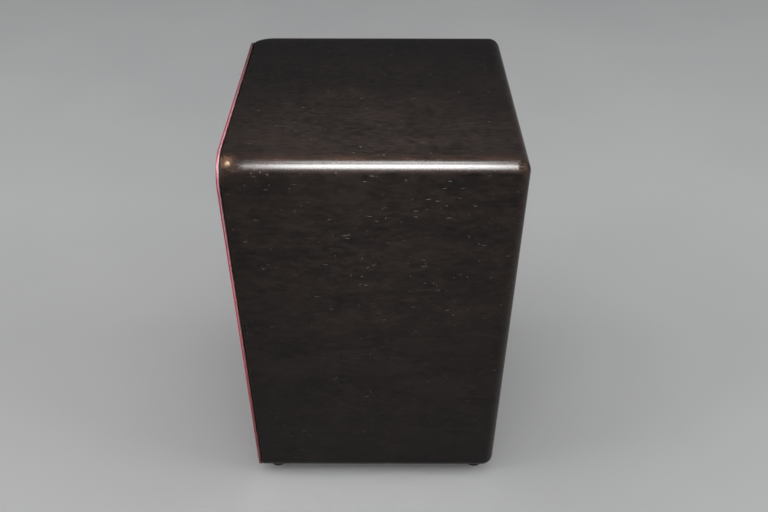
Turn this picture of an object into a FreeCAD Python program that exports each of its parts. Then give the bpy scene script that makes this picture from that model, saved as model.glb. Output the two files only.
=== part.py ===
"""A cajon: a box drum with a mitred, round-edged shell, a screwed-on front plate (tapa), an inset back
with a sound hole, a pair of half snare sets on a wooden rail behind the tapa, and four rubber feet. The two
top corners at the tapa are rounded further than the rest, for the player's hands.

Frame: millimetres, +Z up, origin on the floor at the middle of the footprint. The tapa faces -Y, the sound
hole faces +Y, and the player's seat is the top.
"""
import FreeCAD, Part
import math
import os

from FreeCAD import Placement, Rotation, Vector

# Whole object
WIDTH = 300.0
DEPTH = 301.0
BODY_HEIGHT = 460.0
FOOT_HEIGHT = 10.0

# Shell boards
BOARD = 15.0
EDGE_RADIUS = 14.0
FRONT_EASE = 3.5

# Playing corners: the top corners' radius at the tapa, and the depth over which it falls to the edge radius.
# It falls along an arc, which starts at this angle from the long edges and runs out into them.
PLAYING_CORNER_RADIUS = 30.0
PLAYING_CORNER_RUN = 24.0
PLAYING_CORNER_ANGLE = 70.0
PLAYING_CORNER_SECTIONS = 8

# Front plate
TAPA_THICKNESS = 3.0
TAPA_ARRIS = 0.5
TAPA_SCREWS_ACROSS = 4
TAPA_SCREWS_UP = 6
TAPA_SCREW_CORNER_GAP = 34.0

# Back panel and its cleats
BACK_THICKNESS = 6.0
BACK_INSET = 3.0
BACK_FIT_GAP = 0.25
CLEAT = 15.0
SOUND_HOLE_RADIUS = 60.0
SOUND_HOLE_HEIGHT_SHARE = 0.6
SOUND_HOLE_ARRIS = 1.5
BACK_SCREWS_ACROSS = 3
BACK_SCREWS_UP = 4
BACK_SCREW_CORNER_GAP = 20.0

# Corner joinery
SPLINE_THICKNESS = 3.0
SPLINE_WIDTH = 12.0
SPLINE_FROM_INNER_CORNER = 6.0
SPLINE_STOP = 22.0
CORNER_BLOCK = 18.0
CORNER_BLOCK_BEVEL = 8.0
CORNER_BLOCK_SETBACK = 10.0

# Snare rail
BAR_DEPTH = 18.0
BAR_HEIGHT = 26.0
BAR_CENTRE_BELOW_TOP = 132.0
BAR_END_GAP = 0.5
BAR_ARRIS = 1.5
END_BLOCK_WIDTH = 22.0
END_BLOCK_DEPTH = 20.0

# Half snare sets
STRANDS = 10
STRAND_RADIUS = 1.1
STRAND_LENGTH = 96.0
STRAND_PITCH = 4.0
FAN_DEGREES = 8.0
SET_CENTRE_X = 68.0
SOLDER_OVERLAP = 7.0
TAPA_CLEARANCE = 0.2
PLATE_THICKNESS = 1.0
PLATE_WIDTH = 46.0
PLATE_HEIGHT = 18.0
PLATE_CORNER = 2.5
PLATE_SCREW_SPACING = 28.0
PLATE_SCREW_RISE = 4.5
PAD_WIDTH = 56.0
PAD_HEIGHT = 22.0

# Feet
FOOT_TOP_RADIUS = 12.5
FOOT_BOTTOM_RADIUS = 11.0
FOOT_ROUND = 1.5
FOOT_INSET = 22.0
FOOT_RECESS_RADIUS = 7.0
FOOT_RECESS_DEPTH = 5.5
FOOT_BORE_RADIUS = 2.2
WASHER_RADIUS = 6.0
WASHER_THICKNESS = 1.0

# Screws: head radius, shank radius, length under or with the head, head height for a pan head. PAN_CROWN
# below is a pan head's profile, as shares of its radius and its height.
TAPA_SCREW = {"head": 3.4, "shank": 1.6, "length": 22.0}
BACK_SCREW = {"head": 3.0, "shank": 1.4, "length": 16.0}
BAR_SCREW = {"head": 3.6, "shank": 1.8, "length": 32.0, "pan": 2.4}
PLATE_SCREW = {"head": 2.6, "shank": 1.2, "length": 11.0, "pan": 1.5}
FOOT_SCREW = {"head": 3.6, "shank": 1.8, "length": 15.5, "pan": 2.4}
SCREW_TIP_LENGTH = 3.0
SCREW_RIM = 0.3
RECESS_ARM_SHARE = 0.55
RECESS_WIDTH_SHARE = 0.13
RECESS_DEPTH_SHARE = 0.42
PAN_CROWN = ((0.6, 1.0), (0.92, 0.62), (1.0, 0.2))

# How far cutting shapes run past what they cut, and how near two coordinates are when they count as the same
CUT_MARGIN = 5.0
SAME = 1e-4

# Derived places
HALF_W = WIDTH / 2
HALF_D = DEPTH / 2
BODY_BOTTOM = FOOT_HEIGHT
BODY_TOP = FOOT_HEIGHT + BODY_HEIGHT
TAPA_FRONT = -HALF_D
SHELL_FRONT = TAPA_FRONT + TAPA_THICKNESS
SHELL_BACK = HALF_D
INNER_X = HALF_W - BOARD
INNER_BOTTOM = BODY_BOTTOM + BOARD
INNER_TOP = BODY_TOP - BOARD
BACK_OUTER = SHELL_BACK - BACK_INSET
BACK_INNER = BACK_OUTER - BACK_THICKNESS
CLEAT_FRONT = BACK_INNER - CLEAT
SOUND_HOLE_Z = BODY_BOTTOM + BODY_HEIGHT * SOUND_HOLE_HEIGHT_SHARE
STRAND_Y = SHELL_FRONT + TAPA_CLEARANCE + STRAND_RADIUS
PLATE_FRONT = STRAND_Y + STRAND_RADIUS
BAR_FRONT = PLATE_FRONT + PLATE_THICKNESS
BAR_BACK = BAR_FRONT + BAR_DEPTH
BAR_Z = BODY_TOP - BAR_CENTRE_BELOW_TOP
PLATE_TOP = BAR_Z + BAR_HEIGHT / 2
END_BLOCK_BACK = BAR_BACK + END_BLOCK_DEPTH

INTO_BODY = Vector(0, 1, 0)
OUT_OF_BODY = Vector(0, -1, 0)
UP = Vector(0, 0, 1)


def box(x0, x1, y0, y1, z0, z1):
    """A block between two opposite corners."""
    return Part.makeBox(x1 - x0, y1 - y0, z1 - z0, Vector(x0, y0, z0))


def edges_at_y(shape, y):
    """The edges that lie wholly in the plane Y = y."""
    return [e for e in shape.Edges if abs(e.BoundBox.YMin - y) < SAME and abs(e.BoundBox.YMax - y) < SAME]


def edges_along(shape, axis):
    """The straight edges that run along one axis, given as 0, 1 or 2 for X, Y or Z."""
    found = []
    for edge in shape.Edges:
        extent = (edge.BoundBox.XLength, edge.BoundBox.YLength, edge.BoundBox.ZLength)
        if all(extent[i] < SAME for i in range(3) if i != axis):
            found.append(edge)
    return found


def revolved(profile):
    """A closed profile of (radius, height) points turned about the Z axis."""
    points = [Vector(r, 0, z) for r, z in profile]
    wire = Part.makePolygon(points + [points[0]])
    return Part.Face(wire).revolve(Vector(0, 0, 0), UP, 360)


def spread(first, last, count):
    """Evenly spaced values from first to last."""
    return [first + (last - first) * i / (count - 1) for i in range(count)]


# Screws ----------------------------------------------------------------------------------------------------

def screw(head, shank, length, pan=0.0):
    """A cross-recessed wood screw along +Z. A pan head's seat, or a flush head's face, is at Z = 0."""
    straight = length - SCREW_TIP_LENGTH
    if pan:
        crown = [(0, -pan)] + [(head * out, -pan * up) for out, up in PAN_CROWN] + [(head, 0), (shank, 0)]
    else:
        crown = [(0, 0), (head, 0), (head, SCREW_RIM), (shank, SCREW_RIM + head - shank)]
    body = revolved(crown + [(shank, straight), (0, length)])
    arm = head * RECESS_ARM_SHARE
    wide = head * RECESS_WIDTH_SHARE
    deep = head * RECESS_DEPTH_SHARE
    for half_x, half_y in ((arm, wide), (wide, arm)):
        body = body.cut(box(-half_x, half_x, -half_y, half_y, -pan, deep - pan))
    return body


def screws_at(places, direction, size):
    """One screw at each place, pointing along a direction."""
    solids = []
    for place in places:
        one = screw(**size)
        one.Placement = Placement(place, Rotation(UP, direction))
        solids.append(one)
    return solids


def holes_at(places, direction, size):
    """The room that those screws take up, with no cross recess."""
    solids = []
    for place in places:
        head, shank, length = size["head"], size["shank"], size["length"]
        entry = [(shank, 0)]
        if "pan" not in size:
            entry = [(head, 0), (head, SCREW_RIM), (shank, SCREW_RIM + head - shank)]
        one = revolved([(0, 0)] + entry + [(shank, length - SCREW_TIP_LENGTH), (0, length)])
        one.Placement = Placement(place, Rotation(UP, direction))
        solids.append(one)
    return Part.makeCompound(solids)


def frame_places(half_x, low_z, high_z, corner_gap, across, up, y):
    """Screw places round an upright rectangle, keeping clear of its corners."""
    places = []
    for z in (low_z, high_z):
        places += [Vector(x, y, z) for x in spread(-half_x + corner_gap, half_x - corner_gap, across)]
    for x in (-half_x, half_x):
        places += [Vector(x, y, z) for z in spread(low_z + corner_gap, high_z - corner_gap, up)]
    return places


def tapa_screw_places():
    edge = BOARD / 2
    return frame_places(HALF_W - edge, BODY_BOTTOM + edge, BODY_TOP - edge, TAPA_SCREW_CORNER_GAP,
                        TAPA_SCREWS_ACROSS, TAPA_SCREWS_UP, TAPA_FRONT)


def back_screw_places():
    edge = CLEAT / 2
    return frame_places(INNER_X - edge, INNER_BOTTOM + edge, INNER_TOP - edge, BACK_SCREW_CORNER_GAP,
                        BACK_SCREWS_ACROSS, BACK_SCREWS_UP, BACK_OUTER)


def foot_places(z):
    span_x = HALF_W - FOOT_INSET
    span_y = HALF_D - FOOT_INSET
    return {
        "front_left": Vector(-span_x, -span_y, z),
        "front_right": Vector(span_x, -span_y, z),
        "back_left": Vector(-span_x, span_y, z),
        "back_right": Vector(span_x, span_y, z),
    }


def bar_screw_places():
    x = INNER_X - END_BLOCK_WIDTH / 2
    return [Vector(side * x, END_BLOCK_BACK, BAR_Z) for side in (-1, 1)]


def plate_screw_places():
    z = PLATE_TOP - PLATE_HEIGHT + PLATE_SCREW_RISE
    half = PLATE_SCREW_SPACING / 2
    return [Vector(side * SET_CENTRE_X + dx, PLATE_FRONT, z) for side in (-1, 1) for dx in (-half, half)]


def foot_screw_places():
    seat = FOOT_RECESS_DEPTH - WASHER_THICKNESS
    return list(foot_places(seat).values())


# Shell -----------------------------------------------------------------------------------------------------

def outline(y, top_radius):
    """The body's outline at one depth, as a closed wire whose two top corners have a radius of their own."""
    corners = []
    turns = ((1, BODY_TOP, top_radius, 0), (-1, BODY_TOP, top_radius, 90),
             (-1, BODY_BOTTOM, EDGE_RADIUS, 180), (1, BODY_BOTTOM, EDGE_RADIUS, 270))
    for side, z, radius, start in turns:
        centre = Vector(side * (HALF_W - radius), y, z - radius if z == BODY_TOP else z + radius)
        angles = [math.radians(start + turn) for turn in (0, 45, 90)]
        corners.append([centre + Vector(math.cos(a), 0, math.sin(a)) * radius for a in angles])
    edges = []
    for corner, following in zip(corners, corners[1:] + corners[:1]):
        edges.append(Part.Arc(*corner).toShape())
        edges.append(Part.makeLine(corner[-1], following[0]))
    return Part.Wire(edges)


def playing_corners():
    """The front stretch of the outer shape, where the top corners bulge forward from the long edges."""
    first = math.radians(PLAYING_CORNER_ANGLE)
    sections = []
    for angle in spread(first, 0.0, PLAYING_CORNER_SECTIONS):
        depth = PLAYING_CORNER_RUN * (1 - math.sin(angle) / math.sin(first))
        growth = (PLAYING_CORNER_RADIUS - EDGE_RADIUS) * (1 - math.cos(angle)) / (1 - math.cos(first))
        sections.append(outline(SHELL_FRONT + depth, EDGE_RADIUS + growth))
    return Part.makeLoft(sections, True, False)


def outer_form():
    """The body's outer shape: long and back edges fully rounded, front edges only eased."""
    start = SHELL_FRONT + PLAYING_CORNER_RUN
    block = box(-HALF_W, HALF_W, start, SHELL_BACK, BODY_BOTTOM, BODY_TOP)
    rounded = block.makeFillet(EDGE_RADIUS, edges_along(block, 1) + edges_at_y(block, SHELL_BACK))
    whole = playing_corners().fuse(rounded).removeSplitter()
    return whole.makeFillet(FRONT_EASE, edges_at_y(whole, SHELL_FRONT))


def mitred_run(outer_a, outer_b, inner_b, inner_a):
    """A board's mitred section, given as (x, z) corners, run past both ends of the body."""
    front = SHELL_FRONT - CUT_MARGIN
    corners = [Vector(x, front, z) for x, z in (outer_a, outer_b, inner_b, inner_a)]
    face = Part.Face(Part.makePolygon(corners + [corners[0]]))
    return face.extrude(Vector(0, SHELL_BACK + CUT_MARGIN - front, 0))


def spline(side, upper):
    """The ply key of one mitre, set square to the mitre and stopped short of both ends."""
    long_side = SHELL_BACK - SHELL_FRONT - 2 * SPLINE_STOP
    key = box(-SPLINE_WIDTH / 2, SPLINE_WIDTH / 2, 0, long_side, -SPLINE_THICKNESS / 2, SPLINE_THICKNESS / 2)
    out = SPLINE_FROM_INNER_CORNER / math.sqrt(2)
    x = side * (INNER_X + out)
    z = INNER_TOP + out if upper else INNER_BOTTOM - out
    turn = 45 if (side > 0) == upper else -45
    key.Placement = Placement(Vector(x, SHELL_FRONT + SPLINE_STOP, z), Rotation(Vector(0, 1, 0), turn))
    return key


def shell_boards(splines, holes):
    """The four mitred boards, cut for their keys and screws."""
    corners = [(side, upper) for side in (-1, 1) for upper in (False, True)]
    above = BODY_TOP + CUT_MARGIN
    below = BODY_BOTTOM - CUT_MARGIN
    out_x = HALF_W + CUT_MARGIN
    outer = {(side, upper): (side * out_x, above if upper else below) for side, upper in corners}
    inner = {(side, upper): (side * INNER_X, INNER_TOP if upper else INNER_BOTTOM) for side, upper in corners}
    corner_pairs = {
        "side_panel_left": ((-1, False), (-1, True)),
        "side_panel_right": ((1, False), (1, True)),
        "top_panel": ((-1, True), (1, True)),
        "bottom_panel": ((-1, False), (1, False)),
    }
    form = outer_form()
    boards = {}
    for name, (a, b) in corner_pairs.items():
        board = mitred_run(outer[a], outer[b], inner[b], inner[a]).common(form)
        for tool in splines + holes:
            board = board.cut(tool)
        boards[name] = board
    return boards


def corner_block(side, upper):
    """A bevelled batten glued into one inside corner, behind the tapa and in front of the cleats."""
    x = side * INNER_X
    z = INNER_TOP if upper else INNER_BOTTOM
    step_x = -side * CORNER_BLOCK
    step_z = -CORNER_BLOCK if upper else CORNER_BLOCK
    keep = 1 - CORNER_BLOCK_BEVEL / CORNER_BLOCK
    corners = [(0, 0), (step_x, 0), (step_x, step_z * keep), (step_x * keep, step_z), (0, step_z)]
    front = SHELL_FRONT + CORNER_BLOCK_SETBACK
    points = [Vector(x + dx, front, z + dz) for dx, dz in corners]
    return Part.Face(Part.makePolygon(points + [points[0]])).extrude(Vector(0, CLEAT_FRONT - front, 0))


# Front and back --------------------------------------------------------------------------------------------

def tapa(holes):
    """The struck plate, with the shell's outline at the front and a sanded arris."""
    face = Part.Face(outline(TAPA_FRONT, PLAYING_CORNER_RADIUS))
    plate = face.extrude(Vector(0, TAPA_THICKNESS, 0))
    plate = plate.makeFillet(TAPA_ARRIS, edges_at_y(plate, TAPA_FRONT))
    return plate.cut(holes)


def back_panel(holes):
    """The inset back with its sound hole."""
    half = INNER_X - BACK_FIT_GAP
    panel = box(-half, half, BACK_INNER, BACK_OUTER, INNER_BOTTOM + BACK_FIT_GAP, INNER_TOP - BACK_FIT_GAP)
    start = Vector(0, BACK_INNER, SOUND_HOLE_Z)
    panel = panel.cut(Part.makeCylinder(SOUND_HOLE_RADIUS, BACK_THICKNESS, start, INTO_BODY))
    rims = [e for y in (BACK_INNER, BACK_OUTER) for e in edges_at_y(panel, y) if len(e.Vertexes) == 1]
    panel = panel.makeFillet(SOUND_HOLE_ARRIS, rims)
    return panel.cut(holes)


def back_cleats(holes):
    """Four battens round the inside, which the back panel is screwed to."""
    low = INNER_BOTTOM + CLEAT
    high = INNER_TOP - CLEAT
    inside = INNER_X - CLEAT
    cleats = {
        "back_cleat_top": box(-INNER_X, INNER_X, CLEAT_FRONT, BACK_INNER, high, INNER_TOP),
        "back_cleat_bottom": box(-INNER_X, INNER_X, CLEAT_FRONT, BACK_INNER, INNER_BOTTOM, low),
        "back_cleat_left": box(-INNER_X, -inside, CLEAT_FRONT, BACK_INNER, low, high),
        "back_cleat_right": box(inside, INNER_X, CLEAT_FRONT, BACK_INNER, low, high),
    }
    return {name: cleat.cut(holes) for name, cleat in cleats.items()}


# Snares ----------------------------------------------------------------------------------------------------

def snare_bar(holes):
    """The wooden rail across the inside, just behind the tapa."""
    half = INNER_X - BAR_END_GAP
    low = BAR_Z - BAR_HEIGHT / 2
    bar = box(-half, half, BAR_FRONT, BAR_BACK, low, low + BAR_HEIGHT)
    bar = bar.makeFillet(BAR_ARRIS, edges_along(bar, 0))
    for hole in holes:
        bar = bar.cut(hole)
    return bar


def end_block(side, holes):
    """The block glued to a side panel that one end of the rail is screwed to from behind."""
    outer = side * INNER_X
    inner = side * (INNER_X - END_BLOCK_WIDTH)
    low = BAR_Z - BAR_HEIGHT / 2
    block = box(min(outer, inner), max(outer, inner), BAR_BACK, END_BLOCK_BACK, low, low + BAR_HEIGHT)
    return block.cut(holes)


def snare_plate(side, holes):
    """The steel strip that one set of strands is soldered to."""
    x = side * SET_CENTRE_X
    half = PLATE_WIDTH / 2
    plate = box(x - half, x + half, PLATE_FRONT, BAR_FRONT, PLATE_TOP - PLATE_HEIGHT, PLATE_TOP)
    plate = plate.makeFillet(PLATE_CORNER, edges_along(plate, 1))
    return plate.cut(holes)


def snare_wires(side):
    """A fan of strands. Each coil is drawn as a round rod of the coil's outer size."""
    rods = []
    base = PLATE_TOP - SOLDER_OVERLAP
    offsets = spread(-(STRANDS - 1) / 2, (STRANDS - 1) / 2, STRANDS)
    for offset in offsets:
        lean = math.radians(FAN_DEGREES * offset / max(offsets))
        start = Vector(side * SET_CENTRE_X + offset * STRAND_PITCH, STRAND_Y, base)
        direction = Vector(math.sin(lean), 0, math.cos(lean))
        rods.append(Part.makeCylinder(STRAND_RADIUS, STRAND_LENGTH, start, direction))
    return Part.makeCompound(rods)


def damper_pad():
    """The felt block between the middle of the rail and the tapa."""
    low = BAR_Z - PAD_HEIGHT / 2
    return box(-PAD_WIDTH / 2, PAD_WIDTH / 2, SHELL_FRONT, BAR_FRONT, low, low + PAD_HEIGHT)


# Feet ------------------------------------------------------------------------------------------------------

def foot(place):
    """A tapered rubber foot with a screw recess in its underside."""
    profile = [
        (FOOT_RECESS_RADIUS, 0),
        (FOOT_BOTTOM_RADIUS, 0),
        (FOOT_TOP_RADIUS, FOOT_HEIGHT),
        (FOOT_BORE_RADIUS, FOOT_HEIGHT),
        (FOOT_BORE_RADIUS, FOOT_RECESS_DEPTH),
        (FOOT_RECESS_RADIUS, FOOT_RECESS_DEPTH),
    ]
    body = revolved(profile)
    rim = [e for e in body.Edges if e.BoundBox.ZMax < SAME and e.BoundBox.XMax > FOOT_BOTTOM_RADIUS - SAME]
    body = body.makeFillet(FOOT_ROUND, rim)
    body.Placement = Placement(place, Rotation())
    return body


def washer(place):
    ring = Part.makeCylinder(WASHER_RADIUS, WASHER_THICKNESS)
    ring = ring.cut(Part.makeCylinder(FOOT_BORE_RADIUS, WASHER_THICKNESS))
    ring.Placement = Placement(place, Rotation())
    return ring


# Assembly --------------------------------------------------------------------------------------------------

def cajon():
    """Every node of the model, by name."""
    tapa_holes = holes_at(tapa_screw_places(), INTO_BODY, TAPA_SCREW)
    back_holes = holes_at(back_screw_places(), OUT_OF_BODY, BACK_SCREW)
    bar_holes = holes_at(bar_screw_places(), OUT_OF_BODY, BAR_SCREW)
    plate_holes = holes_at(plate_screw_places(), INTO_BODY, PLATE_SCREW)
    foot_holes = holes_at(foot_screw_places(), UP, FOOT_SCREW)

    corners = [(side, upper) for side in (-1, 1) for upper in (False, True)]
    corner_name = {(side, upper): ("top" if upper else "bottom") + ("_right" if side > 0 else "_left")
                   for side, upper in corners}
    splines = {corner: spline(*corner) for corner in corners}

    nodes = shell_boards(list(splines.values()), [tapa_holes, foot_holes])
    for corner in corners:
        nodes["mitre_spline_" + corner_name[corner]] = splines[corner]
        nodes["corner_block_" + corner_name[corner]] = corner_block(*corner)

    nodes["tapa"] = tapa(tapa_holes)
    nodes["tapa_screws"] = Part.makeCompound(screws_at(tapa_screw_places(), INTO_BODY, TAPA_SCREW))

    nodes["back_panel"] = back_panel(back_holes)
    nodes.update(back_cleats(back_holes))
    nodes["back_panel_screws"] = Part.makeCompound(screws_at(back_screw_places(), OUT_OF_BODY, BACK_SCREW))

    nodes["snare_bar"] = snare_bar([bar_holes, plate_holes])
    for side, word in ((-1, "left"), (1, "right")):
        nodes["snare_block_" + word] = end_block(side, bar_holes)
        nodes["snare_plate_" + word] = snare_plate(side, plate_holes)
        nodes["snare_wires_" + word] = snare_wires(side)
    nodes["snare_bar_screws"] = Part.makeCompound(screws_at(bar_screw_places(), OUT_OF_BODY, BAR_SCREW))
    nodes["snare_plate_screws"] = Part.makeCompound(screws_at(plate_screw_places(), INTO_BODY, PLATE_SCREW))
    nodes["snare_damper_pad"] = damper_pad()

    washer_z = FOOT_RECESS_DEPTH - WASHER_THICKNESS
    for word, place in foot_places(0).items():
        nodes["foot_" + word] = foot(place)
    nodes["foot_washers"] = Part.makeCompound([washer(place) for place in foot_places(washer_z).values()])
    nodes["foot_screws"] = Part.makeCompound(screws_at(foot_screw_places(), UP, FOOT_SCREW))
    return nodes


os.makedirs("parts", exist_ok=True)
for name, shape in cajon().items():
    shape.exportStep("parts/" + name + ".step")
    print(name, len(shape.Solids), "valid" if shape.isValid() else "INVALID", round(shape.Volume))
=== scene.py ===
import math

import bpy
from mathutils import Matrix, Vector


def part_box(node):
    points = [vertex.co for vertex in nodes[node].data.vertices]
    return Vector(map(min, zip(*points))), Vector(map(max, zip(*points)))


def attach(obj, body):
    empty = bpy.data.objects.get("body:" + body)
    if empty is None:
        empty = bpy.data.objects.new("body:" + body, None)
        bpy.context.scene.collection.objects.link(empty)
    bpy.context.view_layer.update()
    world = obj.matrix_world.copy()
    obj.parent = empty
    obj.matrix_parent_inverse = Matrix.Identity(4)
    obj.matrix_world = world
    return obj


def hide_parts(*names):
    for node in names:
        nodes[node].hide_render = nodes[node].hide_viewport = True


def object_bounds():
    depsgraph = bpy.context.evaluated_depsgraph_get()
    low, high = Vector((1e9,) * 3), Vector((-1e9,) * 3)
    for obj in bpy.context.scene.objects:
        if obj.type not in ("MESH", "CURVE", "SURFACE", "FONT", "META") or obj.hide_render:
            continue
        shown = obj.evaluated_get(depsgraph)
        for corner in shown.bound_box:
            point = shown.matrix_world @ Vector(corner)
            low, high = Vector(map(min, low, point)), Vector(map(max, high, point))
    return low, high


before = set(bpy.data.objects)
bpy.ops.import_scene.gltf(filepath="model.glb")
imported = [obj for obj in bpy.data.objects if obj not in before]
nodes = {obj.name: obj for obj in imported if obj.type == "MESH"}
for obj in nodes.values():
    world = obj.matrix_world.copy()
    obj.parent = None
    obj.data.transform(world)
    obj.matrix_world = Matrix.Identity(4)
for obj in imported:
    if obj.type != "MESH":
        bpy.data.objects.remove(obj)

MM = 0.001

cad_low, cad_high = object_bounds()

# Places read from the frame -------------------------------------------------------------------------------------
side_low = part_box("side_panel_right")[0]
top_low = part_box("top_panel")[0]
tapa_low, tapa_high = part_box("tapa")
back_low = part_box("back_panel")[0]
INNER_X = side_low.x
INNER_TOP = top_low.z
INNER_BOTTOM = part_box("bottom_panel")[1].z
TAPA_FRONT = tapa_low.y
TAPA_THICKNESS = tapa_high.y - tapa_low.y


# Camera -----------------------------------------------------------------------------------------------------------
# It looks down at the right-hand side panel from almost square on.
CAMERA_PLACE = Vector((0.7856, 0.0099, 0.8695))
CAMERA_ELEVATION = math.radians(38.625)
CAMERA_TURN = math.radians(0.01)
CAMERA_ROLL = math.radians(-0.10)
LENS_MM = 37.40
SENSOR_MM = 36.0


def add_camera():
    camera = bpy.data.objects.new("camera", bpy.data.cameras.new("camera"))
    camera.data.sensor_width = SENSOR_MM
    camera.data.lens = LENS_MM
    level = math.cos(CAMERA_ELEVATION)
    forward = Vector((-level * math.cos(CAMERA_TURN), -level * math.sin(CAMERA_TURN), -math.sin(CAMERA_ELEVATION)))
    right = Vector((-math.sin(CAMERA_TURN), math.cos(CAMERA_TURN), 0))
    down = forward.cross(right)
    tilted_right = math.cos(CAMERA_ROLL) * right + math.sin(CAMERA_ROLL) * down
    up = math.sin(CAMERA_ROLL) * right - math.cos(CAMERA_ROLL) * down
    turn = Matrix((tilted_right, up, -forward)).transposed().to_4x4()
    camera.matrix_world = Matrix.Translation(CAMERA_PLACE) @ turn
    bpy.context.collection.objects.link(camera)
    bpy.context.scene.camera = camera


# Light and stage --------------------------------------------------------------------------------------------------
LIGHTS = {
    # name: (place, aim, size along its X, size along its Y, watts, spread in degrees)
    "key": ((0.396, 0.022, 0.828), (0.142, 0.010, 0.38), 0.36, 0.36, 4.4, 46.0),
    "top_soft": ((0.10, 0.02, 1.00), (0.142, 0.01, 0.46), 0.32, 0.18, 0.26, 24.0),
    "overhead": ((0.1, 0.0, 2.4), (0.1, 0.0, 0.0), 2.6, 2.6, 15.0, 180.0),
    "left_wash": ((0.3, -2.6, 1.5), (-0.5, -1.0, 0.0), 1.8, 1.8, 21.0, 180.0),
    "right_wash": ((0.3, 2.6, 1.5), (-0.5, 1.0, 0.0), 1.8, 1.8, 21.0, 180.0),
    "front_fill": ((1.7, 0.0, 1.25), (0.4, 0.0, 0.0), 2.2, 0.8, 6.0, 180.0),
    "left_soft": ((-1.7, 0.1, 0.8), (-0.15, 0.0, 0.25), 1.6, 1.0, 30.0, 180.0),
    "back_soft": ((0.1, 1.8, 0.8), (0.0, 0.15, 0.25), 1.6, 1.0, 30.0, 180.0),
}
WORLD_COLOUR = (0.80, 0.82, 0.85, 1.0)
WORLD_STRENGTH = 0.22
FLOOR_HALF = 9.0


def add_light(name, place, aim, size_x, size_y, watts, spread):
    light = bpy.data.lights.new(name, "AREA")
    light.shape = "RECTANGLE"
    light.size = size_x
    light.size_y = size_y
    light.energy = watts
    light.spread = math.radians(spread)
    lamp = bpy.data.objects.new(name, light)
    lamp.location = place
    lamp.rotation_mode = "QUATERNION"
    lamp.rotation_quaternion = (Vector(aim) - Vector(place)).to_track_quat("-Z", "Y")
    bpy.context.collection.objects.link(lamp)
    return lamp


def keep_off(lamp, piece):
    """The lamp doesn't light the piece, as if a flag stood between them."""
    others = bpy.data.collections.new(lamp.name + "_flag")
    others.objects.link(piece)
    others.collection_objects[0].light_linking.link_state = "EXCLUDE"
    lamp.light_linking.receiver_collection = others


def only_on(lamp, pieces):
    """The lamp lights these pieces and nothing else."""
    lit = bpy.data.collections.new(lamp.name + "_lit")
    for piece in pieces:
        lit.objects.link(piece)
    lamp.light_linking.receiver_collection = lit


def add_world():
    world = bpy.data.worlds.new("studio")
    bpy.context.scene.world = world
    world.use_nodes = True
    background = world.node_tree.nodes["Background"]
    background.inputs["Color"].default_value = WORLD_COLOUR
    background.inputs["Strength"].default_value = WORLD_STRENGTH


# Material building ------------------------------------------------------------------------------------------------

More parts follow.
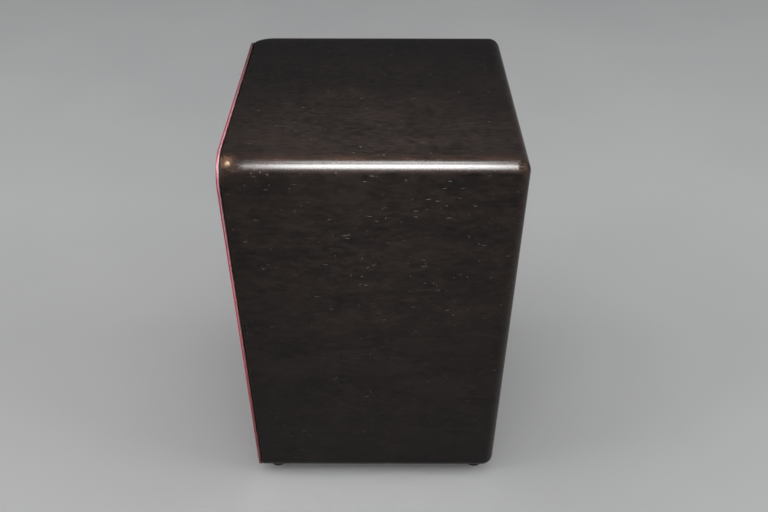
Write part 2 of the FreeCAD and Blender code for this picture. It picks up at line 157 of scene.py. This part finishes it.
class Shader:
    """One material's node graph, with short names for the nodes that it uses most.

    Every pattern is placed by object coordinates, which are the row frame's own metres.
    """

    def __init__(self, name):
        self.material = bpy.data.materials.new(name)
        self.material.use_nodes = True
        self.tree = self.material.node_tree
        self.tree.nodes.clear()
        output = self.add("ShaderNodeOutputMaterial")
        self.surface = self.add("ShaderNodeBsdfPrincipled")
        self.tree.links.new(self.surface.outputs["BSDF"], output.inputs["Surface"])
        self.place = self.add("ShaderNodeTexCoord").outputs["Object"]
        split = self.add("ShaderNodeSeparateXYZ")
        self.put(split.inputs[0], self.place)
        self.x, self.y, self.z = split.outputs

    def add(self, kind, **settings):
        node = self.tree.nodes.new(kind)
        for key, value in settings.items():
            setattr(node, key, value)
        return node

    def put(self, socket, value):
        if isinstance(value, bpy.types.NodeSocket):
            self.tree.links.new(value, socket)
        elif isinstance(value, tuple) and len(value) == 3 and socket.type == "RGBA":
            socket.default_value = (*value, 1.0)
        else:
            socket.default_value = value

    def set(self, **values):
        """Sets the surface's sockets, with _ for a space in their names."""
        for key, value in values.items():
            self.put(self.surface.inputs[key.replace("_", " ")], value)

    def math(self, operation, a, b=0.0, clamp=False):
        node = self.add("ShaderNodeMath", operation=operation, use_clamp=clamp)
        self.put(node.inputs[0], a)
        self.put(node.inputs[1], b)
        return node.outputs[0]

    def times(self, a, b):
        return self.math("MULTIPLY", a, b)

    def plus(self, a, b):
        return self.math("ADD", a, b)

    def either(self, a, b):
        return self.math("MAXIMUM", a, b)

    def away(self, value, centre):
        """How far a value is from a centre."""
        return self.math("ABSOLUTE", self.math("SUBTRACT", value, centre))

    def ease(self, value, low, high, start=0.0, end=1.0):
        """A smooth step from start to end as the value goes from low to high."""
        node = self.add("ShaderNodeMapRange", interpolation_type="SMOOTHSTEP")
        for socket, given in zip(node.inputs, (value, low, high, start, end)):
            self.put(socket, given)
        return node.outputs[0]

    def stretched(self, scale, shift=(0.0, 0.0, 0.0), turn=(0.0, 0.0, 0.0)):
        node = self.add("ShaderNodeMapping")
        self.put(node.inputs["Vector"], self.place)
        node.inputs["Location"].default_value = shift
        node.inputs["Rotation"].default_value = turn
        node.inputs["Scale"].default_value = scale
        return node.outputs[0]

    def noise(self, scale, shift=(0.0, 0.0, 0.0), detail=3.0, roughness=0.5, distortion=0.0):
        """Noise whose features are about 1/scale metres along each axis. It runs from 0 to 1 with a mean of 0.5."""
        node = self.add("ShaderNodeTexNoise")
        self.put(node.inputs["Vector"], self.stretched(scale, shift))
        node.inputs["Scale"].default_value = 1.0
        node.inputs["Detail"].default_value = detail
        node.inputs["Roughness"].default_value = roughness
        node.inputs["Distortion"].default_value = distortion
        return node.outputs[0]

    def specks(self, scale, radius, share, shift=(0.0, 0.0, 0.0)):
        """Scattered dots of a radius given in cells, in that share of the cells. It is 1 inside a dot."""
        node = self.add("ShaderNodeTexVoronoi")
        self.put(node.inputs["Vector"], self.stretched(scale, shift))
        node.inputs["Scale"].default_value = 1.0
        dot = self.ease(node.outputs["Distance"], radius * 0.5, radius, 1.0, 0.0)
        red = self.add("ShaderNodeSeparateColor")
        self.put(red.inputs[0], node.outputs["Color"])
        chosen = self.math("LESS_THAN", red.outputs[0], share)
        return self.times(dot, chosen)

    def mix(self, factor, a, b):
        node = self.add("ShaderNodeMix", data_type="RGBA", clamp_factor=True)
        self.put(node.inputs[0], factor)
        self.put(node.inputs[6], a)
        self.put(node.inputs[7], b)
        return node.outputs[2]

    def bumps(self, *layers):
        """Bump layers of (height, depth in metres), one on another, written to the surface's normal."""
        normal = None
        for height, depth in layers:
            node = self.add("ShaderNodeBump")
            node.inputs["Strength"].default_value = 1.0
            node.inputs["Distance"].default_value = depth
            self.put(node.inputs["Height"], height)
            if normal is not None:
                self.put(node.inputs["Normal"], normal)
            normal = node.outputs[0]
        self.put(self.surface.inputs["Normal"], normal)

    def edge(self):
        """0 on a flat face square to an axis, rising to about 0.29 in the middle of a rounded edge."""
        split = self.add("ShaderNodeSeparateXYZ")
        self.put(split.inputs[0], self.add("ShaderNodeNewGeometry").outputs["Normal"])
        sizes = [self.math("ABSOLUTE", part) for part in split.outputs]
        return self.math("SUBTRACT", 1.0, self.either(sizes[0], self.either(sizes[1], sizes[2])))

    def upward(self):
        """How far the surface faces up, from -1 to 1."""
        split = self.add("ShaderNodeSeparateXYZ")
        self.put(split.inputs[0], self.add("ShaderNodeNewGeometry").outputs["Normal"])
        return split.outputs[2]

    def near(self, point, radius):
        """1 at a point, falling to 0 at a radius."""
        node = self.add("ShaderNodeVectorMath", operation="DISTANCE")
        self.put(node.inputs[0], self.place)
        node.inputs[1].default_value = point
        return self.ease(node.outputs["Value"], 0.0, radius, 1.0, 0.0)


def along(axis, across, lengthways):
    """A noise scale for wood whose grain runs along one axis, named x, y or z."""
    return tuple(lengthways if name == axis else across for name in "xyz")


def wood_figure(s, axis, shift):
    """The parts of a wood's look: broad figure, fine fibre, and open pores, with the grain along one axis."""
    figure = s.noise(along(axis, 42.0, 3.5), shift, detail=4.0, distortion=0.6)
    fibre = s.noise(along(axis, 900.0, 26.0), shift, detail=3.0, roughness=0.6)
    pores = s.ease(s.noise(along(axis, 1500.0, 95.0), shift, detail=2.0), 0.62, 0.72)
    return figure, fibre, pores


def bare_wood_colour(s, axis, shift, pale, dark):
    figure, fibre, pores = wood_figure(s, axis, shift)
    tone = s.mix(s.ease(figure, 0.32, 0.68), pale, dark)
    tone = s.mix(s.times(s.ease(fibre, 0.4, 0.7), 0.35), tone, dark)
    shade = tuple(part * 0.45 for part in dark)
    return s.mix(s.times(pores, 0.6), tone, shade), fibre, pores


# Colours, linear ---------------------------------------------------------------------------------------------------
ESPRESSO = (0.0008, 0.0007, 0.0007)
ESPRESSO_LIGHT = (0.0050, 0.0034, 0.0028)
ESPRESSO_PORE = (0.0010, 0.0009, 0.0009)
# Rubbed stain on the rounded edges. The same colour on the up-facing strip beside the long top edges is partly
# painted warm sheen.
RUBBED_STAIN_AND_WARM_SHEEN = (0.030, 0.0130, 0.0075)
# Worn stain with painted warm sheen in the halos by the front corners, then bare wood with a painted glint in the
# corner spots.
WORN_STAIN_AND_WARM_SHEEN = (0.036, 0.019, 0.010)
RUBBED_THROUGH_AND_GLINT = (0.26, 0.19, 0.13)
DUST = (0.20, 0.19, 0.18)
VENEER_RED = (0.150, 0.010, 0.022)
VENEER_DARK = (0.045, 0.005, 0.009)
PLY_PALE = (0.095, 0.056, 0.064)
# The dark ply tone, which also paints the shade on the lower part of the tapa's core.
PLY_DARK_AND_SHADE = (0.050, 0.017, 0.014)
PLY_DEEP = (0.022, 0.007, 0.006)
BARE_PALE = (0.56, 0.40, 0.26)
BARE_DARK = (0.40, 0.25, 0.15)
BIRCH_PALE = (0.66, 0.52, 0.36)
BIRCH_DARK = (0.47, 0.33, 0.20)

LACQUER_SPECULAR = 0.155
FACE_MARGIN = 0.4 * MM
# Sizes of the front corner spots, which are partly painted glint, and of their halos, which are partly painted warm
# sheen.
WORN_AND_GLINT_CORNER_RADIUS = 4.0 * MM
WORN_AND_SHEEN_HALO_RADIUS = 13.0 * MM


def inside_mask(s):
    """1 on the shell's inner faces in front of the back panel, and 0 elsewhere."""
    in_x = s.math("LESS_THAN", s.math("ABSOLUTE", s.x), INNER_X + FACE_MARGIN)
    middle = (INNER_TOP + INNER_BOTTOM) / 2
    half = (INNER_TOP - INNER_BOTTOM) / 2
    in_z = s.math("LESS_THAN", s.away(s.z, middle), half + FACE_MARGIN)
    before_back = s.math("LESS_THAN", s.y, back_low.y + FACE_MARGIN)
    return s.times(before_back, s.times(in_x, in_z))


def lacquered_stain(name, axis, shift, bare):
    """Espresso stain under satin lacquer. bare(s) is 1 where the wood was left bare."""
    s = Shader(name)
    figure, fibre, pores = wood_figure(s, axis, shift)
    blotches = s.noise((26.0, 17.0, 26.0), shift, detail=5.0, roughness=0.6)
    mottle = s.ease(s.noise(along(axis, 230.0, 95.0), shift, detail=5.0, roughness=0.7), 0.25, 0.75)
    tone = s.plus(s.times(figure, 0.25), s.plus(s.times(blotches, 0.40), s.times(mottle, 0.35)))
    colour = s.mix(s.ease(tone, 0.25, 0.75), ESPRESSO, ESPRESSO_LIGHT)
    colour = s.mix(s.times(s.ease(fibre, 0.50, 0.70), 0.30), colour, ESPRESSO_LIGHT)
    colour = s.mix(s.times(pores, 0.8), colour, ESPRESSO_PORE)

    # The stain is thinner on the rounded edges and beside the long top ones, unevenly, and rubbed through at the
    # front end of those.
    # The strip beside the long top edges that faces up is partly thinned stain and partly painted warm sheen; the
    # rubbed-through spots are partly painted glint, and the halos round them are partly painted warm sheen.
    patchy = s.ease(s.noise((90.0, 34.0, 90.0), shift, detail=4.0), 0.35, 0.68)
    # Painted warm sheen in part: the up-facing strip beside the long top edges takes the rubbed-stain colour.
    worn_and_sheen_beside_edge = s.ease(s.math("ABSOLUTE", s.x), cad_high.x - 24.0 * MM, cad_high.x - 11.0 * MM, 0.0, 0.14)
    worn_and_sheen_beside_edge = s.times(worn_and_sheen_beside_edge, s.ease(s.upward(), 0.84, 0.96))
    rounded = s.times(s.ease(s.edge(), 0.02, 0.20), 0.15)
    # rubbed holds the real edge wear together with the partly painted warm sheen beside the long top edges.
    rubbed = s.either(rounded, worn_and_sheen_beside_edge)
    colour = s.mix(s.times(rubbed, s.plus(0.35, s.times(patchy, 0.65))), colour, RUBBED_STAIN_AND_WARM_SHEEN)
    grit = s.ease(s.noise((420.0, 420.0, 420.0), shift, detail=3.0), 0.34, 0.66)
    # Painted glint in part: pale bare-wood spots near the front top corners, with halos that are partly painted warm
    # sheen.
    worn_and_glint, halo = 0.0, 0.0
    for side, strength in ((1, 1.0), (-1, 0.45)):
        point = (side * (cad_high.x - 7.9 * MM), TAPA_FRONT + 12.0 * MM, cad_high.z - 3.4 * MM)
        worn_and_glint = s.either(worn_and_glint, s.times(s.near(point, WORN_AND_GLINT_CORNER_RADIUS), strength))
        beside = (point[0] - side * 2.0 * MM, point[1] - 3.0 * MM, point[2] + 2.0 * MM)
        halo = s.either(halo, s.times(s.near(beside, WORN_AND_SHEEN_HALO_RADIUS), strength))
    # The halos are kept to the top of the edge, where the painted warm sheen lies.
    halo = s.times(halo, s.ease(s.z, cad_high.z - 9.0 * MM, cad_high.z - 4.0 * MM))
    colour = s.mix(s.times(halo, s.plus(0.35, s.times(grit, 0.65))), colour, WORN_STAIN_AND_WARM_SHEEN)
    colour = s.mix(s.times(worn_and_glint, s.plus(0.20, s.times(grit, 0.55))), colour, RUBBED_THROUGH_AND_GLINT)

    # Dust in single specks, and lint and fine scratches along the grain.
    dust = s.specks((95.0, 95.0, 95.0), 0.11, 0.40, shift)
    lint = s.specks(along(axis, 190.0, 38.0), 0.12, 0.60, shift)
    faint = s.ease(s.noise((19.0, 19.0, 19.0), shift), 0.35, 0.65, 0.25, 1.0)
    colour = s.mix(s.times(s.times(s.either(s.times(dust, 0.7), lint), faint), 0.09), colour, DUST)

    smear = s.noise((14.0, 7.0, 14.0), shift, detail=4.0, roughness=0.55)
    rough = s.plus(0.215, s.times(smear, 0.10))
    rough = s.plus(rough, s.times(pores, 0.12))
    rough = s.plus(rough, s.times(dust, 0.25))

    raw, raw_fibre, _ = bare_wood_colour(s, axis, shift, BARE_PALE, BARE_DARK)
    mask = bare(s)
    s.set(Base_Color=s.mix(mask, colour, raw))
    bare_rough = s.plus(0.62, s.times(raw_fibre, 0.12))
    gap = s.math("SUBTRACT", bare_rough, rough)
    s.set(Roughness=s.plus(rough, s.times(mask, gap)))
    s.surface.inputs["Specular IOR Level"].default_value = LACQUER_SPECULAR
    peel = s.noise((480.0, 480.0, 480.0), shift, detail=2.0)
    s.bumps((peel, 0.005 * MM), (fibre, 0.006 * MM), (s.math("SUBTRACT", 1.0, pores), 0.014 * MM))
    return s.material


def tapa_wood(name):
    """Wine-red face veneer with upright grain, over a pale core that shows its plies at the edge, with painted shade
    darkening the core towards the bottom.
    """
    s = Shader(name)
    figure, fibre, pores = wood_figure(s, "z", (3.1, 0.0, 0.7))
    streak = s.ease(s.noise(along("z", 150.0, 5.0), (7.0, 0.0, 1.3), detail=5.0, distortion=0.8), 0.42, 0.66)
    face = s.mix(s.ease(figure, 0.3, 0.7), VENEER_RED, VENEER_DARK)
    face = s.mix(s.times(streak, 0.75), face, VENEER_DARK)
    face = s.mix(s.times(pores, 0.7), face, (0.02, 0.003, 0.004))

    depth = s.math("DIVIDE", s.math("SUBTRACT", s.y, TAPA_FRONT), TAPA_THICKNESS)
    wavy = s.plus(depth, s.times(s.math("SUBTRACT", fibre, 0.5), 0.08))
    glue_line = s.ease(s.away(wavy, 0.78), 0.02, 0.05, 1.0, 0.0)
    core = s.mix(s.times(s.ease(fibre, 0.5, 0.8), 0.35), PLY_PALE, PLY_DARK_AND_SHADE)
    # Painted shade: the pale core darkens towards the bottom of the tapa, where less light falls.
    core = s.mix(s.ease(s.z, tapa_high.z * 0.22, tapa_high.z * 0.60, 0.90, 0.0), core, PLY_DARK_AND_SHADE)
    inner_ply = s.mix(s.ease(figure, 0.35, 0.65), PLY_DARK_AND_SHADE, PLY_DEEP)
    inner_ply = s.mix(s.times(pores, 0.6), inner_ply, PLY_DEEP)
    core = s.mix(s.either(glue_line, s.ease(wavy, 0.84, 0.90)), core, inner_ply)
    inner = s.ease(wavy, 0.46, 0.52)
    s.set(Base_Color=s.mix(inner, face, core))
    smear = s.noise((9.0, 9.0, 9.0), (2.0, 0.0, 5.0), detail=4.0)
    shine = s.plus(0.27, s.times(smear, 0.10))
    shine = s.plus(shine, s.times(pores, 0.12))
    s.set(Roughness=s.plus(shine, s.times(inner, 0.3)))
    s.surface.inputs["Specular IOR Level"].default_value = 0.30
    s.bumps((fibre, 0.012 * MM), (s.math("SUBTRACT", 1.0, pores), 0.035 * MM))
    return s.material


def bare_wood(name, axis, shift, pale=BARE_PALE, dark=BARE_DARK):
    """Planed wood with no finish."""
    s = Shader(name)
    colour, fibre, pores = bare_wood_colour(s, axis, shift, pale, dark)
    grime = s.ease(s.noise((25.0, 25.0, 25.0), shift, detail=4.0), 0.45, 0.75)
    colour = s.mix(s.times(grime, 0.25), colour, tuple(part * 0.5 for part in dark))
    s.set(Base_Color=colour)
    s.set(Roughness=s.plus(0.58, s.times(fibre, 0.2)))
    s.bumps((fibre, 0.04 * MM), (s.math("SUBTRACT", 1.0, pores), 0.05 * MM))
    return s.material


def metal(name, colour, dark, roughness, brushed):
    """Bare or plated steel, with fine brushing and dull patches."""
    s = Shader(name)
    patches = s.noise((260.0, 260.0, 260.0), (0.3, 0.1, 0.9), detail=4.0)
    lines = s.noise(brushed, (0.0, 0.0, 0.0), detail=2.0)
    s.set(Base_Color=s.mix(s.ease(patches, 0.4, 0.75), colour, dark))
    s.surface.inputs["Metallic"].default_value = 1.0
    rough = s.plus(roughness, s.times(s.ease(patches, 0.35, 0.8), 0.2))
    s.set(Roughness=s.plus(rough, s.times(lines, 0.08)))
    s.bumps((lines, 0.006 * MM), (patches, 0.01 * MM))
    return s.material


def black_oxide(name):
    """Black screws whose recess edges and rims are rubbed bright."""
    s = Shader(name)
    patches = s.noise((700.0, 700.0, 700.0), (0.5, 0.2, 0.1), detail=4.0)
    rubbed = s.times(s.ease(s.edge(), 0.05, 0.3), s.ease(patches, 0.45, 0.6))
    s.set(Base_Color=s.mix(rubbed, (0.014, 0.014, 0.016), (0.30, 0.29, 0.28)))
    s.surface.inputs["Metallic"].default_value = 0.6
    s.set(Roughness=s.plus(0.36, s.times(patches, 0.2)))
    s.bumps((patches, 0.012 * MM))
    return s.material


def moulded_rubber(name):
    """Matt black rubber with a fine moulded grain, scuffed pale where it meets the floor."""
    s = Shader(name)
    grain = s.noise((1600.0, 1600.0, 1600.0), (0.0, 0.0, 0.0), detail=2.0)
    scuffs = s.noise((190.0, 190.0, 190.0), (0.4, 0.7, 0.2), detail=5.0, roughness=0.65)
    low = s.ease(s.z, 0.0, 3.5 * MM, 1.0, 0.0)
    dusty = s.times(s.ease(scuffs, 0.42, 0.72), s.plus(0.2, s.times(low, 0.6)))
    s.set(Base_Color=s.mix(dusty, (0.012, 0.012, 0.012), (0.11, 0.105, 0.10)))
    s.set(Roughness=s.plus(0.68, s.times(scuffs, 0.2)))
    s.bumps((grain, 0.03 * MM), (scuffs, 0.05 * MM))
    return s.material


def felt(name):
    """Dense dark felt with matted fibres."""
    s = Shader(name)
    fibres = s.noise((1300.0, 1300.0, 1300.0), (0.0, 0.3, 0.0), detail=4.0, roughness=0.7, distortion=2.5)
    clumps = s.noise((240.0, 240.0, 240.0), (0.9, 0.3, 0.0), detail=3.0)
    tone = s.plus(s.times(fibres, 0.6), s.times(clumps, 0.4))
    s.set(Base_Color=s.mix(s.ease(tone, 0.35, 0.65), (0.018, 0.018, 0.020), (0.075, 0.075, 0.080)))
    s.set(Roughness=s.plus(0.85, s.times(fibres, 0.1)))
    s.surface.inputs["Sheen Weight"].default_value = 0.5
    s.surface.inputs["Sheen Roughness"].default_value = 0.5
    s.bumps((fibres, 0.25 * MM), (clumps, 0.3 * MM))
    return s.material


def floor_paint(name):
    """The pale studio floor."""
    s = Shader(name)
    cloud = s.noise((1.4, 1.4, 1.4), (0.0, 0.0, 0.0), detail=5.0)
    s.set(Base_Color=s.mix(s.ease(cloud, 0.3, 0.7), (0.66, 0.66, 0.66), (0.71, 0.71, 0.705)))
    s.set(Roughness=s.plus(0.75, s.times(cloud, 0.1)))
    return s.material


def outside_back(s):
    """1 on the back panel's inner face and 0 on its outer face and in the sound hole."""
    return s.math("LESS_THAN", s.y, back_low.y + FACE_MARGIN)


# Mesh pieces ------------------------------------------------------------------------------------------------------

def mesh_piece(name, vertices, faces, material, smooth=True):
    mesh = bpy.data.meshes.new(name)
    mesh.from_pydata(vertices, [], faces)
    mesh.materials.append(material)
    mesh.polygons.foreach_set("use_smooth", [smooth] * len(faces))
    mesh.update()
    piece = bpy.data.objects.new(name, mesh)
    bpy.context.collection.objects.link(piece)
    return piece


def islands(mesh):
    """The vertex numbers of each separate solid in a mesh."""
    parent = list(range(len(mesh.vertices)))

    def root(i):
        while parent[i] != i:
            parent[i] = parent[parent[i]]
            i = parent[i]
        return i

    for a, b in (edge.vertices for edge in mesh.edges):
        parent[root(a)] = root(b)
    # Corners that share a place belong together, because an imported mesh splits them at sharp edges.
    seen = {}
    for vertex in mesh.vertices:
        key = tuple(round(c, 6) for c in vertex.co)
        if key in seen:
            parent[root(vertex.index)] = root(seen[key])
        seen[key] = vertex.index
    groups = {}
    for i in range(len(parent)):
        groups.setdefault(root(i), []).append(i)
    return list(groups.values())


def rods(node):
    """Each rod of a node as (lower end, upper end, radius), read from its solid."""
    mesh = nodes[node].data
    found = []
    for group in islands(mesh):
        points = [mesh.vertices[i].co for i in group]
        middle = sum(points, Vector()) / len(points)
        lower = [p for p in points if p.z < middle.z]
        upper = [p for p in points if p.z >= middle.z]
        low = sum(lower, Vector()) / len(lower)
        high = sum(upper, Vector()) / len(upper)
        axis = (high - low).normalized()
        radius = max((p - low - axis * (p - low).dot(axis)).length for p in lower)
        found.append((low, high, radius))
    return sorted(found, key=lambda rod: rod[0].x)


COIL_PITCH = 1.15 * MM
COIL_WIRE = 0.24 * MM
COIL_STEPS = 9
COIL_SIDES = 5


def coil(low, high, radius, vertices, faces):
    """Adds a coil spring between two ends to a mesh being built, closed at both ends."""
    axis = (high - low).normalized()
    across = axis.orthogonal().normalized()
    beside = axis.cross(across)
    arm = radius - COIL_WIRE
    turns = (high - low).length / COIL_PITCH
    steps = int(turns * COIL_STEPS)
    first = len(vertices)
    for i in range(steps + 1):
        angle = 2 * math.pi * turns * i / steps
        outward = across * math.cos(angle) + beside * math.sin(angle)
        centre = low + (high - low) * (i / steps) + outward * arm
        for k in range(COIL_SIDES):
            swing = 2 * math.pi * k / COIL_SIDES
            vertices.append(centre + (outward * math.cos(swing) + axis * math.sin(swing)) * COIL_WIRE)
    for i in range(steps):
        for k in range(COIL_SIDES):
            a = first + i * COIL_SIDES + k
            b = first + i * COIL_SIDES + (k + 1) % COIL_SIDES
            faces.append((a, b, b + COIL_SIDES, a + COIL_SIDES))
    faces.append(tuple(first + k for k in range(COIL_SIDES))[::-1])
    faces.append(tuple(first + steps * COIL_SIDES + k for k in range(COIL_SIDES)))


def add_snare_coils(word, material):
    """The wire coils of one snare set, each where its rod stands."""
    vertices, faces = [], []
    for low, high, radius in rods("snare_wires_" + word):
        coil(low, high, radius, vertices, faces)
    piece = mesh_piece("snare_coils_" + word, vertices, faces, material)
    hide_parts("snare_wires_" + word)
    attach(piece, "root")


PAD_COLUMNS = 44
PAD_ROWS = 20
PAD_EDGE_POWER = 8


def add_felt_pad(material):
    """The damper pad: flat on the rail, crowned towards the tapa, with soft rounded rims."""
    low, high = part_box("snare_damper_pad")
    middle = (low + high) / 2
    half = (high - low) / 2
    vertices, faces, front, back = [], [], {}, {}
    for i in range(PAD_COLUMNS + 1):
        for k in range(PAD_ROWS + 1):
            u = 2 * i / PAD_COLUMNS - 1
            v = 2 * k / PAD_ROWS - 1
            fullness = max(0.0, (1 - abs(u) ** PAD_EDGE_POWER) * (1 - abs(v) ** PAD_EDGE_POWER)) ** 0.4
            lump = 0.04 * math.sin(9.0 * u + 1.0) * math.sin(5.0 * v + 2.0 * u)
            crown = 1.0 - 0.16 * (u * u + v * v) / 2 + lump - 0.05
            x = middle.x + half.x * u
            z = middle.z + half.z * v
            front[i, k] = len(vertices)
            vertices.append((x, middle.y - half.y * fullness * crown, z))
            if fullness > 0:
                back[i, k] = len(vertices)
                vertices.append((x, middle.y + half.y * min(1.0, fullness * 1.25), z))
            else:
                back[i, k] = front[i, k]
    for i in range(PAD_COLUMNS):
        for k in range(PAD_ROWS):
            corners = ((i, k), (i + 1, k), (i + 1, k + 1), (i, k + 1))
            faces.append([front[c] for c in corners])
            faces.append([back[c] for c in reversed(corners)])
    piece = mesh_piece("damper_pad_felt", vertices, faces, material)
    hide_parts("snare_damper_pad")
    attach(piece, "root")


# Assembly ---------------------------------------------------------------------------------------------------------

def dress(node, material):
    for place in nodes[node].material_slots:
        place.link = "OBJECT"
        place.material = material


def dress_all():
    shell = lacquered_stain("stained_shell", "y", (0.0, 0.0, 0.0), inside_mask)
    for node in ("side_panel_left", "side_panel_right", "top_panel", "bottom_panel"):
        dress(node, shell)
    dress("back_panel", lacquered_stain("stained_back", "z", (5.0, 2.0, 8.0), outside_back))
    dress("tapa", tapa_wood("tapa_veneer"))
    wood_axes = {"corner_block": "y", "back_cleat": "x", "snare_bar": "x", "snare_block": "z", "mitre_spline": "y"}
    black = black_oxide("black_screw")
    zinc = metal("zinc_steel", (0.60, 0.59, 0.55), (0.38, 0.37, 0.34), 0.28, (900.0, 900.0, 900.0))
    bright = metal("snare_steel", (0.62, 0.62, 0.61), (0.40, 0.39, 0.37), 0.22, (60.0, 900.0, 1400.0))
    rubber = moulded_rubber("rubber")
    shift = 0.0
    for node in nodes:
        kind = next((word for word in wood_axes if node.startswith(word) and "screws" not in node), None)
        if kind:
            shift += 1.7
            upright = node in ("back_cleat_left", "back_cleat_right")
            tones = (BIRCH_PALE, BIRCH_DARK) if kind == "mitre_spline" else (BARE_PALE, BARE_DARK)
            dress(node, bare_wood(node + "_wood", "z" if upright else wood_axes[kind], (shift, shift, shift), *tones))
        elif node in ("tapa_screws", "back_panel_screws"):
            dress(node, black)
        elif node.endswith("screws") or node == "foot_washers":
            dress(node, zinc)
        elif node.startswith("snare_plate"):
            dress(node, bright)
        elif node.startswith("foot_"):
            dress(node, rubber)
    for word in ("left", "right"):
        add_snare_coils(word, bright)
    add_felt_pad(felt("felt"))


def add_floor():
    ring = [(-FLOOR_HALF, -FLOOR_HALF, 0), (FLOOR_HALF, -FLOOR_HALF, 0), (FLOOR_HALF, FLOOR_HALF, 0),
            (-FLOOR_HALF, FLOOR_HALF, 0)]
    ground = mesh_piece("floor", ring, [(0, 1, 2, 3)], floor_paint("floor_paint"), smooth=False)
    return ground


bpy.context.scene.view_settings.view_transform = "Standard"
add_camera()
add_world()
lamps = {name: add_light(name, *settings) for name, settings in LIGHTS.items()}
floor = add_floor()
keep_off(lamps["key"], floor)
keep_off(lamps["top_soft"], floor)
only_on(lamps["left_soft"], [nodes["side_panel_left"]])
only_on(lamps["back_soft"], [nodes[name] for name in nodes if name.startswith(("back_", "snare_", "corner_block"))])
dress_all()
